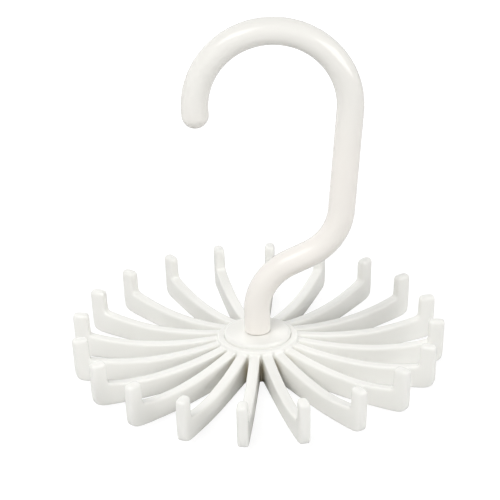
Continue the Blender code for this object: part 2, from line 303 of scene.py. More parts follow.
class Nodes:
    """A node tree in the making."""

    def __init__(self, tree):
        self.tree = tree

    def node(self, kind, sockets, output=0, **settings):
        """Add a node, set it up, fill its sockets with values or links, and return an output."""
        added = self.tree.nodes.new(kind)
        for name, setting in settings.items():
            setattr(added, name, setting)
        for key, value in sockets.items():
            self.fill(added.inputs[key], value)
        return Value(self, added.outputs[output])

    def fill(self, socket, value):
        if isinstance(value, Value):
            self.tree.links.new(value.socket, socket)
        else:
            socket.default_value = value


class Paint(Nodes):
    """A material in the making."""

    # The mixing node's sockets for two colours, and its output for the mixed one
    MIX_COLOURS = (6, 7)
    MIX_RESULT = 2

    def __init__(self, name):
        self.material = bpy.data.materials.new(name)
        self.material.use_nodes = True
        super().__init__(self.material.node_tree)
        self.shader = self.tree.nodes["Principled BSDF"]
        self.place = self.node("ShaderNodeTexCoord", {}, "Object")

    def feed(self, **values):
        """Fill the shader's own sockets, named with underscores for spaces."""
        for name, value in values.items():
            self.fill(self.shader.inputs[name.replace("_", " ")], value)

    def noise(self, size, detail, place=None):
        """Noise between 0 and 1 whose lumps are about this long."""
        sockets = {"Vector": place or self.place, "Scale": 1 / size, "Detail": detail}
        return self.node("ShaderNodeTexNoise", sockets, "Fac")

    def blend(self, amount, first, second):
        """Mix two colours, or two colour links, by an amount from 0 to 1."""
        sockets = {"Factor": amount}
        for key, end in zip(self.MIX_COLOURS, (first, second)):
            sockets[key] = end if isinstance(end, Value) else (*end, 1)
        return self.node("ShaderNodeMix", sockets, self.MIX_RESULT, data_type="RGBA")

    def cloud(self, amount, colour, darkest, palest):
        """A colour between its darkest and its palest share, by an amount from 0 to 1."""
        ends = [[min(1.0, channel * share) for channel in colour] for share in (darkest, palest)]
        return self.blend(amount, *ends)

    def ramp(self, value, start, end):
        """A smooth rise from 0 at the start to 1 at the end of a value's range."""
        sockets = {"Value": value, "From Min": start, "From Max": end}
        return self.node("ShaderNodeMapRange", sockets, interpolation_type="SMOOTHSTEP")

    def split(self):
        """The three parts of the place on the object."""
        parts = self.node("ShaderNodeSeparateXYZ", {"Vector": self.place}).socket.node
        return [Value(self, output) for output in parts.outputs]

    def from_axis(self):
        """Distance of the place from the Z axis."""
        across, along, _ = self.split()
        return (across * across + along * along) ** 0.5

    def bump(self, height, distance):
        return self.node("ShaderNodeBump", {"Height": height, "Distance": distance}, "Normal")


class MouldedPlastic:
    """Moulded white plastic: faint flow clouds, a slow ripple in the gloss and a very fine skin."""

    CLOUD = 0.018
    CLOUD_SHARE = 0.7
    STREAK = 0.004
    STREAK_SCALE = (1, 1, 0.35)
    SKIN = 0.0009
    WAVE = 0.006
    RIPPLE = 0.35
    BUMP_DEPTH = 0.00002
    GLOSS_SPREAD = 0.03
    DARKEST = 0.985
    PALEST = 1.012
    IOR = 1.49
    SPECULAR = 0.5

    def __init__(self, name, roughness, grain):
        self.paint = paint = Paint(name)
        clouds = paint.noise(self.CLOUD, detail=3)
        skin = paint.noise(self.SKIN, detail=3)
        stretched = paint.node("ShaderNodeMapping", {"Vector": paint.place, "Scale": self.STREAK_SCALE})
        streaks = paint.noise(self.STREAK, detail=2, place=stretched)
        self.tone = clouds * self.CLOUD_SHARE + streaks * (1 - self.CLOUD_SHARE)
        self.height = paint.noise(self.WAVE, detail=1) * self.RIPPLE + skin * grain
        spread = self.GLOSS_SPREAD
        self.roughness = roughness + (skin - 0.5) * spread + (clouds - 0.5) * spread

    def colour(self, colour):
        """This colour with the faint flow clouds in it."""
        return self.paint.cloud(self.tone, colour, self.DARKEST, self.PALEST)

    def finish(self, colour):
        self.paint.feed(
            Base_Color=colour,
            Roughness=self.roughness,
            Normal=self.paint.bump(self.height, self.BUMP_DEPTH),
            IOR=self.IOR,
            Specular_IOR_Level=self.SPECULAR)
        return self.paint.material


class ZincPlate:
    """Bright zinc plate with fine turning marks round the axis and small tarnish clouds."""

    # Radians of the turning marks' wave for each metre from the axis
    MARKS = 42000
    MARK_SHARE = 0.3
    CLOUD = 0.0018
    SCRATCH = 0.00025
    BUMP_DEPTH = 0.00001
    ROUGHNESS = 0.26
    CLOUD_ROUGHNESS = 0.16
    SCRATCH_ROUGHNESS = 0.05
    DARKEST = 0.86
    PALEST = 1.08

    def finish(self, name, colour):
        paint = Paint(name)
        marks = (paint.from_axis() * self.MARKS).math("SINE")
        clouds = paint.noise(self.CLOUD, detail=3)
        scratches = paint.noise(self.SCRATCH, detail=2)
        relief = marks * self.MARK_SHARE + scratches * (1 - self.MARK_SHARE)
        paint.feed(
            Base_Color=paint.cloud(clouds, colour, self.DARKEST, self.PALEST),
            Roughness=self.ROUGHNESS + clouds * self.CLOUD_ROUGHNESS + scratches * self.SCRATCH_ROUGHNESS,
            Normal=paint.bump(relief, self.BUMP_DEPTH),
            Metallic=1.0)
        return paint.material


def near(first, second):
    return abs(first - second) < CLOSE


def begin(name):
    """Name the new primitive and open it for editing, with all of it selected."""
    piece = bpy.context.object
    piece.name = piece.data.name = name
    bpy.ops.object.mode_set(mode="EDIT")
    bpy.ops.mesh.select_mode(type="VERT")
    select_all()
    return piece


def select_all():
    bpy.ops.mesh.select_all(action="SELECT")


def end_edit():
    bpy.ops.object.mode_set(mode="OBJECT")


def pick(piece, wanted):
    """Select the vertices whose place passes the test, with the edges and faces between them."""
    mesh = bmesh.from_edit_mesh(piece.data)
    for vert in mesh.verts:
        vert.select = wanted(vert.co)
    mesh.select_flush_mode()
    bmesh.update_edit_mesh(piece.data)


def choose(piece):
    """Make this piece the only selected one, and the active one."""
    bpy.ops.object.select_all(action="DESELECT")
    piece.select_set(True)
    bpy.context.view_layer.objects.active = piece


def extrude(step):
    bpy.ops.mesh.extrude_region_move(TRANSFORM_OT_translate={"value": step})


def move(step):
    bpy.ops.transform.translate(value=step)


def resize(factors, centre):
    bpy.ops.transform.resize(value=factors, center_override=centre)


def face_out():
    """Turn every face outwards."""
    select_all()
    bpy.ops.mesh.normals_make_consistent(inside=False)


def weld():
    """Merge doubled vertices and turn every face outwards."""
    select_all()
    bpy.ops.mesh.remove_doubles(threshold=WELD)
    face_out()


def apply_modifier(piece, kind, **settings):
    """Change the piece's mesh by a modifier with these settings."""
    choose(piece)
    modifier = piece.modifiers.new(kind, kind)
    for name, setting in settings.items():
        setattr(modifier, name, setting)
    bpy.ops.object.modifier_apply(modifier=modifier.name)


def turn_round(piece, angle):
    """Turn the piece about the spin axis, mesh and all."""
    choose(piece)
    piece.rotation_euler.z = angle
    bpy.ops.object.transform_apply(rotation=True)


def cut_out(piece, tool, angle):
    """Turn the tool about the spin axis, cut its shape out of the piece and remove it."""
    end_edit()
    turn_round(tool, angle)
    apply_modifier(piece, "BOOLEAN", operation="DIFFERENCE", solver="EXACT", object=tool)
    bpy.data.objects.remove(tool)


def split_long_faces():
    """Split the many-sided faces that a cut leaves into well-shaped triangles."""
    bpy.ops.object.mode_set(mode="EDIT")
    bpy.ops.mesh.select_mode(type="FACE")
    bpy.ops.mesh.select_all(action="DESELECT")
    bpy.ops.mesh.select_face_by_sides(number=4, type="GREATER")
    bpy.ops.mesh.quads_convert_to_tris(quad_method="BEAUTY", ngon_method="BEAUTY")
    bpy.ops.mesh.dissolve_degenerate(threshold=WELD)
    bpy.ops.mesh.select_mode(type="VERT")
    end_edit()


def finish_piece(piece, material, body, slot, *nodes):
    """Close the edit, shade the piece, give it its finish and seat it on the frame."""
    end_edit()
    choose(piece)
    bpy.ops.object.shade_smooth_by_angle(angle=SMOOTH_ANGLE)
    piece.data.materials.clear()
    piece.data.materials.append(material)
    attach(piece, body)
    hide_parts(*nodes)


def start_ring(name, sides, radius, height):
    """Begin a piece with one level ring round the spin axis."""
    bpy.ops.mesh.primitive_circle_add(vertices=sides, radius=radius)
    piece = begin(name)
    move((0, 0, height))
    return piece


def start_outline(name, spots, radius, fill="NOTHING"):
    """Begin a piece with a circle, and bring its corners to these places, one by one."""
    bpy.ops.mesh.primitive_circle_add(vertices=len(spots), radius=radius, fill_type=fill)
    piece = begin(name)
    for index, goal in enumerate(spots):
        mesh = bmesh.from_edit_mesh(piece.data)
        mesh.verts.ensure_lookup_table()
        start = mesh.verts[index].co.copy()
        pick(piece, lambda spot: (spot - start).length < WELD)
        move(Vector(goal) - start)
    return piece


def add_rings(radius, height, rings):
    """Carry the selected ring through each (radius, height) pair."""
    for next_radius, next_height in rings:
        extrude((0, 0, next_height - height))
        factor = next_radius / radius
        resize((factor, factor, 1), (0, 0, next_height))
        radius, height = next_radius, next_height


def lathe(name, profile, sides):
    """Turn a piece with this profile of (radius, height) pairs."""
    piece = start_ring(name, sides, *profile[0])
    add_rings(*profile[0], profile[1:])
    return piece


def pick_ring(piece, radius, height):
    pick(piece, lambda spot: near(math.hypot(spot.x, spot.y), radius) and near(spot.z, height))


def soften_ring(piece, radius, height, width, segments):
    """Round the edge loop at this radius and height."""
    pick_ring(piece, radius, height)
    bpy.ops.mesh.bevel(offset=width, segments=segments, profile=0.5, affect="EDGES")


def spin_on(angle, centre):
    """Carry the selected ring round a centre in the XZ plane; a positive angle lifts +X towards +Z."""
    steps = max(2, math.ceil(abs(angle) / BEND_STEP))
    bpy.ops.mesh.spin(steps=steps, angle=angle, center=(centre.x, 0, centre.y), axis=(0, 1, 0))


def spin_round(steps, angle):
    """Carry the selection round the spin axis."""
    bpy.ops.mesh.spin(steps=steps, angle=-angle, center=(0, 0, 0), axis=(0, 0, 1))


def copy_round(count):
    """Copy the selection round the spin axis until there are this many, evenly spaced."""
    select_all()
    bpy.ops.mesh.spin(steps=count - 1, dupli=True, angle=math.tau / count - math.tau,
                      center=(0, 0, 0), axis=(0, 0, 1))


def direction(angle):
    """Unit step in the XZ plane at an angle above +X, as (across, up)."""
    return Vector((math.cos(angle), math.sin(angle)))


class HANGER_OT_hook(bpy.types.Operator):
    """Bend the rod hook up from the stem's foot and add the journal below it"""

    bl_idname = "hanger.hook"
    bl_label = "Rod hook"

    SIDES = 64
    BALL_RINGS = 10
    CHAMFER = 0.0004
    DRILL_POINT_SHARE = 0.125
    GRAIN = 0.03
    PARTING_WIDTH = 0.00012
    PARTING_RISE = 1.2

    def execute(self, context):
        sizes = context.scene.hanger_hook
        radius = sizes.rod / 2
        self.start = sizes.stem_foot + 2 * sizes.foot_rounding
        hook = start_ring("hook_rod", self.SIDES, radius, self.start)
        self.bend_rod(sizes)
        self.round_end(radius)
        self.turn_journal(hook, sizes, radius)
        weld()
        finish_piece(hook, self.plastic(context), "root", "hook_white", "hook")
        return {"FINISHED"}

    def bend_rod(self, sizes):
        """Carry the ring up the stem, over the crank, up the shank and round the arch."""
        foot = Vector((0, self.start))
        corner = Vector((0, sizes.stem_foot + sizes.crank_height))
        arch = Vector((sizes.arch_offset, sizes.stem_foot + sizes.arch_height))
        upright = math.pi / 2
        shank = upright - sizes.shank_lean
        slope = sizes.crank_slope
        arch_start = arch + direction(-sizes.shank_lean) * sizes.arch_radius

        reach = corner - arch_start
        along, rise = direction(slope), direction(shank)
        span = along.x * rise.y - along.y * rise.x
        crank_length = (reach.y * rise.x - reach.x * rise.y) / span
        head = corner + along * crank_length
        lower_turn = upright - slope
        upper_turn = shank - slope
        lower_setback = sizes.lower_bend * math.tan(lower_turn / 2)
        upper_setback = sizes.upper_bend * math.tan(upper_turn / 2)

        bend_start = corner - direction(upright) * lower_setback
        self.run(foot, bend_start)
        spin_on(-lower_turn, bend_start + direction(0) * sizes.lower_bend)
        bend_end = corner + along * lower_setback
        next_start = head - along * upper_setback
        self.run(bend_end, next_start)
        spin_on(upper_turn, next_start + direction(slope + upright) * sizes.upper_bend)
        self.run(head + rise * upper_setback, arch_start)
        arch_turn = math.pi + sizes.arch_overhang + sizes.shank_lean
        spin_on(arch_turn, arch)
        self.heading = shank + arch_turn
        self.end = arch + direction(math.pi + sizes.arch_overhang) * sizes.arch_radius

    def run(self, start, end):
        """Carry the ring straight on, in two equal steps."""
        step = (end - start) / 2
        extrude((step.x, 0, step.y))
        extrude((step.x, 0, step.y))

    def round_end(self, radius):
        """Close the free end with a ball, ring by ring."""
        ahead = direction(self.heading)
        done = 0
        for index in range(1, self.BALL_RINGS):
            angle = math.pi / 2 * index / self.BALL_RINGS
            reach = radius * math.sin(angle)
            extrude((ahead.x * (reach - done), 0, ahead.y * (reach - done)))
            centre = self.end + ahead * reach
            factor = math.cos(angle) / math.cos(math.pi / 2 * (index - 1) / self.BALL_RINGS)
            resize((factor, factor, factor), (centre.x, 0, centre.y))
            done = reach
        extrude((ahead.x * (radius - done), 0, ahead.y * (radius - done)))
        bpy.ops.mesh.merge(type="CENTER")

    def turn_journal(self, hook, sizes, radius):
        """Extrude the stem's first ring down to its foot, the journal and the pilot hole."""
        pin = sizes.journal / 2
        hole = sizes.pilot / 2
        bottom = sizes.journal_foot
        rings = [
            (radius, sizes.stem_foot),
            (pin, sizes.stem_foot),
            (pin, bottom + self.CHAMFER),
            (pin - self.CHAMFER, bottom),
            (hole + self.CHAMFER / 2, bottom),
            (hole, bottom + self.CHAMFER / 2),
            (hole, bottom + sizes.pilot_depth - hole),
            (hole * self.DRILL_POINT_SHARE, bottom + sizes.pilot_depth),
        ]
        pick_ring(hook, radius, self.start)
        add_rings(radius, self.start, rings)
        bpy.ops.mesh.merge(type="CENTER")
        soften_ring(hook, radius, sizes.stem_foot, sizes.foot_rounding, segments=4)

    def plastic(self, context):
        """Glossy white, with painted shade making the arch a little darker and cooler, and the mould's
        parting line along the rod.
        """
        finish, sizes = context.scene.hanger_finish, context.scene.hanger_hook
        plastic = MouldedPlastic("hook_plastic", finish.hook_roughness, self.GRAIN)
        paint = plastic.paint
        _, side, height = paint.split()
        arch = sizes.stem_foot + sizes.arch_height
        off_line = paint.ramp(side.math("ABSOLUTE"), 0, self.PARTING_WIDTH)
        plastic.height = plastic.height + (1 - off_line) * self.PARTING_RISE
        # Painted shade: from the top of the shank upwards, the rod blends into the arch's darker, cooler
        # white
        cooler = paint.ramp(height, arch - sizes.arch_radius, arch + sizes.arch_radius / 2)
        return plastic.finish(paint.blend(
            cooler, plastic.colour(finish.hook_colour), plastic.colour(finish.arch_shade_colour)))


class HANGER_OT_wheel(bpy.types.Operator):
    """Model one arm with its slice of the hub, copy it all round and core the underside"""

    bl_idname = "hanger.wheel"
    bl_label = "Tie wheel"

    SMOOTHING = 2
    GRAIN = 0.06
    # How far the painted shade between the arms' roots reaches out from the hub and down from the arms'
    # tops
    CREVICE_SHADE_REACH = 0.006
    # Stations of an arm and the low point of its dish, as shares of the way from its root to its finger
    STATION_SHARES = (0.02, 0.10, 0.22, 0.35, 0.48, 0.61, 0.74, 0.87, 0.965)
    DISH_LOW_SHARE = 0.55
    # Where an arm's belly starts to rise, as a share of the way from its root to the wheel's rim
    BELLY_SHARE = 0.32
    # Corners of the hub's ring, as shares of its width from its inner and its outer edge
    RING_INNER_SHARE = 0.3
    RING_OUTER_SHARE = 0.35
    SHARP = 1.0
    SEAT_CREASE = 0.75
    RECESS_CREASE = 0.8
    FINGER_STATIONS = 3
    # A finger's dome, as (drop, inset) shares of the rounding at its top
    DOME_SHARES = ((1.85, 0), (0.54, 0), (0, 0.54), (0, 1.2))
    HEEL_NARROWING = 0.88
    HEEL_CORNER_SHARE = 1 / 6
    POCKET_STEPS = 8
    CUT_OVERRUN = 0.001

    def execute(self, context):
        sizes = context.scene.hanger_wheel
        self.half = sizes.thickness / 2
        self.hub = HUB_BOX[1].x
        self.top = HUB_BOX[1].z
        self.root_top = self.top - sizes.root_step
        wheel = self.slice_of_hub(sizes)
        self.draw_arm(wheel, sizes)
        self.raise_finger(wheel, sizes)
        copy_round(ARM_COUNT)
        weld()
        self.crease_hidden_edges(wheel, sizes)
        end_edit()
        apply_modifier(wheel, "SUBSURF", levels=self.SMOOTHING)
        self.core_underside(wheel, sizes)
        turn_round(wheel, sizes.turn)
        finish_piece(wheel, self.plastic(context), "wheel", "wheel_white", "wheel_hub", *ARM_NODES)
        return {"FINISHED"}

    def plastic(self, context):
        """Satin white, with painted shade making it darker and warmer deep between the arms' roots."""
        finish = context.scene.hanger_finish
        plastic = MouldedPlastic("wheel_plastic", finish.wheel_roughness, self.GRAIN)
        paint = plastic.paint
        _, _, height = paint.split()
        # Painted shade: strongest near the hub and low down, deep between the arms' roots
        inward = 1 - paint.ramp(paint.from_axis(), self.hub, self.hub + self.CREVICE_SHADE_REACH)
        below = 1 - paint.ramp(height, self.root_top - self.CREVICE_SHADE_REACH, self.root_top)
        white = plastic.colour(finish.wheel_colour)
        crevice_shade = plastic.colour(finish.crevice_shade_colour)
        return plastic.finish(paint.blend(inward * below, white, crevice_shade))

    def hub_rows(self, sizes):
        """Corners of the hub's section as (radius, height), with the creases of its hidden ones."""
        seat = self.hub - sizes.ring_width
        soft = sizes.softness
        return [
            (seat, self.top - sizes.seat_depth, self.SHARP),
            (seat, self.top, self.SEAT_CREASE),
            (seat + sizes.ring_width * self.RING_INNER_SHARE, self.top, 0),
            (self.hub - sizes.ring_width * self.RING_OUTER_SHARE, self.top, 0),
            (self.hub, self.top, 0),
            (self.hub, self.root_top, 0),
            (self.hub, self.root_top - soft, 0),
            (self.hub, soft, 0),
            (self.hub, 0, 0),
            (self.hub - soft / 2, 0, 0),
            (sizes.recess, 0, self.RECESS_CREASE),
            (sizes.recess, sizes.recess_depth, self.SHARP),
            (sizes.bore, sizes.recess_depth, self.SHARP),
            (sizes.bore, self.top - sizes.seat_depth, self.SHARP),
        ]

    def slice_of_hub(self, sizes):
        """Lay out the hub's section and spin it through one arm's share of the turn."""
        first = -ARM_PITCH / 2
        spots = [(radius * math.cos(first), radius * math.sin(first), height)
                 for radius, height, _ in self.hub_rows(sizes)]
        wheel = start_outline("tie_wheel", spots, self.hub)
        select_all()
        edge = math.asin(self.half / self.hub)
        inner = math.asin((self.half - sizes.softness) / self.hub)
        for turn in (ARM_PITCH / 2 - edge, edge - inner, 2 * inner, edge - inner, ARM_PITCH / 2 - edge):
            spin_round(1, turn)
        return wheel

    def dish_height(self, sizes, share):
        """Height of an arm's top at a share of its length."""
        low = self.DISH_LOW_SHARE
        span = low if share < low else 1 - low
        return self.root_top - sizes.dish * (1 - ((share - low) / span) ** 2)

    def belly_height(self, sizes, share):
        """Height of an arm's underside at a share of the way from its root to the wheel's rim."""
        climb = max(0.0, (share - self.BELLY_SHARE) / (1 - self.BELLY_SHARE))
        return sizes.foot_lift + sizes.tail_rise * climb ** 2

    def draw_arm(self, wheel, sizes):
        """Draw the arm out of the hub's wall, station by station, to the finger's outer face."""
        lean = math.tan(sizes.finger_lean)
        self.foot = sizes.rim - sizes.finger_width - (FINGER_TOP - self.root_top) * lean
        length = self.foot - self.hub
        pick(wheel, lambda spot: near(math.hypot(spot.x, spot.y), self.hub)
             and abs(spot.y) < self.half + CLOSE and spot.z < self.root_top + CLOSE and spot.x > 0)
        heel_share = (sizes.rim - self.hub) / length
        places = [self.hub + length * share for share in self.STATION_SHARES]
        places += [self.foot + sizes.finger_width * index / self.FINGER_STATIONS
                   for index in range(self.FINGER_STATIONS + 1)]
        before, top, bottom = self.hub, self.root_top, 0.0
        for index, place in enumerate(places):
            extrude((place - before, 0, 0))
            if index == 0:
                resize((0, 1, 1), (place, 0, 0))
            share = (place - self.hub) / length
            new_top = self.dish_height(sizes, min(share, 1.0))
            new_bottom = self.belly_height(sizes, share / heel_share)
            middle = (top + bottom) / 2

            def at_end(spot):
                return near(spot.x, place) and abs(spot.y) < self.half + CLOSE

            pick(wheel, lambda spot: at_end(spot) and spot.z > middle)
            move((0, 0, new_top - top))
            pick(wheel, lambda spot: at_end(spot) and spot.z < middle)
            move((0, 0, new_bottom - bottom))
            pick(wheel, at_end)
            before, top, bottom = place, new_top, new_bottom
        self.shape_heel(wheel, sizes, places[-2], places[-1], bottom)

    def shape_heel(self, wheel, sizes, inner, outer, bottom):
        """Pull the outer corner of the arm's underside into a round heel and lean the outer face."""
        soft = sizes.softness
        lean = math.tan(sizes.finger_lean)
        corner = sizes.heel * self.HEEL_CORNER_SHARE
        pick(wheel, lambda spot: near(spot.x, inner) and spot.z < self.root_top / 2)
        move((outer - sizes.heel - inner, 0, 0))
        pick(wheel, lambda spot: near(spot.x, outer) and near(spot.z, bottom + soft))
        move((0, 0, sizes.heel - soft))
        pick(wheel, lambda spot: near(spot.x, outer) and near(spot.z, bottom))
        move((-corner, 0, corner))
        pick(wheel, lambda spot: spot.x > inner + CLOSE and near(spot.z, bottom + corner))
        resize((1, self.HEEL_NARROWING, 1), (outer, 0, bottom))
        for height in (bottom + corner, bottom + sizes.heel, self.root_top - soft):
            pick(wheel, lambda spot: spot.x > inner + CLOSE and near(spot.z, height))
            move((-(self.root_top - height) * lean, 0, 0))
        pick(wheel, lambda spot: spot.x > inner + CLOSE and near(abs(spot.y), self.half))
        self.draw_in(-sizes.corner_softness, sizes)

    def draw_in(self, step, sizes):
        """Draw the selected upright edges in, towards the middle of the finger."""
        move((step, 0, 0))
        resize((1, 1 - sizes.corner_softness / self.half, 1), (0, 0, 0))

    def raise_finger(self, wheel, sizes):
        """Extrude the finger up from the end of the arm's top and dome its tip."""
        pick(wheel, lambda spot: spot.x > self.foot - CLOSE and near(spot.z, self.root_top))
        lean = math.tan(sizes.finger_lean)
        first = self.root_top + sizes.softness
        rounding = sizes.tip_rounding
        rings = [(first, 0)]
        rings += [(FINGER_TOP - rounding * drop, rounding * inset) for drop, inset in self.DOME_SHARES]
        width, height, before = sizes.finger_width / 2, self.root_top, 0
        for goal, inset in rings:
            extrude(((goal - height) * lean, 0, goal - height))
            middle = self.foot + (goal - self.root_top) * lean + width
            narrower = (width - inset) / (width - before)
            thinner = (self.half - inset) / (self.half - before)
            resize((narrower, thinner, 1), (middle, 0, goal))
            height, before = goal, inset
            if goal == first:
                inner = self.foot + (goal - self.root_top) * lean
                pick(wheel, lambda spot: near(spot.z, first) and near(spot.x, inner)
                     and near(abs(spot.y), self.half))
                self.draw_in(sizes.corner_softness, sizes)
                pick(wheel, lambda spot: near(spot.z, first) and spot.x > self.foot)

    def crease_hidden_edges(self, wheel, sizes):
        """Keep the seat, recess and bore crisp where the arms' softness isn't wanted."""
        for radius, height, crease in self.hub_rows(sizes):
            if crease:
                pick_ring(wheel, radius, height)
                bpy.ops.transform.edge_crease(value=crease)

    def core_underside(self, wheel, sizes):
        """Cut the pockets between the ribs out of the hub's underside."""
        inner = sizes.recess + sizes.boss
        outer = self.hub - sizes.skirt
        roof = self.top - sizes.seat_depth - sizes.roof
        depth = roof + self.CUT_OVERRUN
        inset = math.asin(sizes.rib / 2 / inner)
        bpy.ops.mesh.primitive_plane_add(size=1, rotation=(math.pi / 2, 0, 0),
                                         location=((inner + outer) / 2, 0, roof - depth / 2))
        tool = bpy.context.object
        tool.scale = (outer - inner, depth, 1)
        bpy.ops.object.transform_apply(location=True, rotation=True, scale=True)
        begin("pocket_tool")
        spin_round(self.POCKET_STEPS, math.tau / sizes.ribs - 2 * inset)
        face_out()
        copy_round(sizes.ribs)
        cut_out(wheel, tool, inset)
        split_long_faces()


class HANGER_OT_disc(bpy.types.Operator):
    """Turn the raised disc and the sleeve below it"""

    bl_idname = "hanger.disc"
    bl_label = "Raised disc"

    SIDES = 144
    DISC_DEPTH = 0.0016
    EDGE = 0.0011
    # Radii of the sleeve's bore and of its outside
    BORE = 0.0033
    SLEEVE = 0.0047
    BORE_MARGIN = 0.0012
    RIM_MARGIN = 0.0016
    LEAD_IN = 0.0003
    FOOT_LIFT = 0.0006
    SEAM = 0.00008
    GRAIN = 0.06

    def execute(self, context):
        wheel = context.scene.hanger_wheel
        top = DISC_BOX[1].z
        rim = HUB_BOX[1].x - wheel.ring_width - self.SEAM
        under = HUB_BOX[1].z - self.DISC_DEPTH
        foot = wheel.recess_depth + self.FOOT_LIFT
        profile = [
            (self.BORE, top), (self.BORE + self.BORE_MARGIN, top), (rim - self.RIM_MARGIN, top),
            (rim, top), (rim, under), (self.SLEEVE, under), (self.SLEEVE, foot), (self.BORE, foot),
            (self.BORE, top),
        ]
        disc = lathe("hub_disc", profile, self.SIDES)
        weld()
        soften_ring(disc, rim, top, self.EDGE, segments=6)
        soften_ring(disc, self.BORE, top, self.LEAD_IN, segments=3)
        soften_ring(disc, self.SLEEVE, foot, self.LEAD_IN, segments=3)
        soften_ring(disc, rim, under, self.LEAD_IN / 2, segments=2)
        finish = context.scene.hanger_finish
        plastic = MouldedPlastic("disc_plastic", finish.wheel_roughness, self.GRAIN)
        white = plastic.finish(plastic.colour(finish.disc_colour))
        finish_piece(disc, white, "wheel", "bush_white", "hub_bush")
        return {"FINISHED"}


class HANGER_OT_washer(bpy.types.Operator):
    """Turn the plated washer that keeps the wheel on the journal"""

    bl_idname = "hanger.washer"
    bl_label = "Retaining washer"

    SIDES = 96
    HOLE_RADIUS = 0.0017
    ROLL_OVER = 0.0003
    BREAK = 0.0001

    def execute(self, context):
        low, high = WASHER_BOX[0].z, WASHER_BOX[1].z
        rim, hole = WASHER_BOX[1].x, self.HOLE_RADIUS
        profile = [(hole, low), (rim, low), (rim, high), (hole, high), (hole, low)]
        washer = lathe("journal_washer", profile, self.SIDES)
        weld()
        soften_ring(washer, rim, low, self.ROLL_OVER, segments=4)
        soften_ring(washer, hole, low, self.ROLL_OVER, segments=4)
        soften_ring(washer, rim, high, self.BREAK, segments=2)
        steel = ZincPlate().finish("washer_zinc", context.scene.hanger_finish.steel_colour)
        finish_piece(washer, steel, "root", "zinc_steel", "retaining_washer")
        return {"FINISHED"}


class HANGER_OT_screw(bpy.types.Operator):
    """Turn the pan head screw, sink its cross recess and wind its thread"""

    bl_idname = "hanger.screw"
    bl_label = "Retaining screw"

    SIDES = 64
    # Radii of the shank and of the thread's crest
    SHANK = 0.0011
    CREST = 0.0014
    PITCH = 0.0011
    HEAD_HEIGHT = 0.0022
    CENTRE_SHARE = 0.125
    CROWN_SHARE = 0.62
    TIP = 0.0016
    POINT_SHARE = 0.1
    CROWN = 0.0012
    UNDER_BREAK = 0.00015
    CROSS_LENGTH = 0.0036
    CROSS_WIDTH = 0.0009
    CROSS_DEPTH = 0.0012
    CROSS_TAPER = 0.55
    CUT_OVERRUN = 0.0005
    FLANK_SHARE = 0.3
    RIDGE_SINK = 0.0001
    STEPS_A_TURN = 24

    def execute(self, context):
        low, high = SCREW_BOX[0].z, SCREW_BOX[1].z
        rim = SCREW_BOX[1].x
        seat = low + self.HEAD_HEIGHT
        centre = rim * self.CENTRE_SHARE
        profile = [
            (centre, low), (rim * self.CROWN_SHARE, low), (rim, low), (rim, seat), (self.CREST, seat),
            (self.SHANK, seat + self.CREST - self.SHANK), (self.SHANK, high - self.TIP),
            (self.SHANK * self.POINT_SHARE, high),
        ]
        screw = lathe("cross_screw", profile, self.SIDES)
        bpy.ops.mesh.merge(type="CENTER")
        pick_ring(screw, centre, low)
        bpy.ops.mesh.edge_face_add()
        weld()
        soften_ring(screw, rim, low, self.CROWN, segments=8)
        soften_ring(screw, rim, seat, self.UNDER_BREAK, segments=2)
        end_edit()
        self.sink_cross(screw, low)
        self.wind_thread(screw, seat, high)
        steel = ZincPlate().finish("screw_zinc", context.scene.hanger_finish.steel_colour)
        finish_piece(screw, steel, "root", "zinc_steel", "retaining_screw")
        return {"FINISHED"}

    def sink_cross(self, screw, low):
        """Cut a cross of two tapered slots into the head."""
        for turn in (0, math.pi / 2):
            bpy.ops.mesh.primitive_cube_add(size=1)
            tool = begin("cross_tool")
            depth = self.CROSS_DEPTH + self.CUT_OVERRUN
            resize((self.CROSS_LENGTH, self.CROSS_WIDTH, depth), (0, 0, 0))
            move((0, 0, low - self.CUT_OVERRUN + depth / 2))
            pick(tool, lambda spot: spot.z > low)
            resize((self.CROSS_TAPER, self.CROSS_TAPER, 1), (0, 0, low))
            cut_out(screw, tool, turn)
        split_long_faces()

    def wind_thread(self, screw, seat, high):
        """Wind a three-sided ridge up the shank and join it to the screw."""
        start = seat + self.CREST - self.SHANK + self.PITCH / 2
        turns = (high - self.TIP - start) / self.PITCH
        sunk = self.SHANK - self.RIDGE_SINK
        flank = self.PITCH * self.FLANK_SHARE
        corners = ((self.CREST, 0, start), (sunk, 0, start + flank), (sunk, 0, start - flank))
        ridge = start_outline("thread_ridge", corners, self.PITCH / 4, fill="NGON")
        end_edit()
        apply_modifier(
            ridge, "SCREW", axis="Z", angle=math.tau * turns, screw_offset=self.PITCH * turns,
            steps=math.ceil(self.STEPS_A_TURN * turns), use_merge_vertices=True, merge_threshold=WELD)
        begin("thread_ridge")
        bpy.ops.mesh.fill_holes(sides=len(corners))
        face_out()
        end_edit()
        choose(screw)
        ridge.select_set(True)
        bpy.ops.object.join()


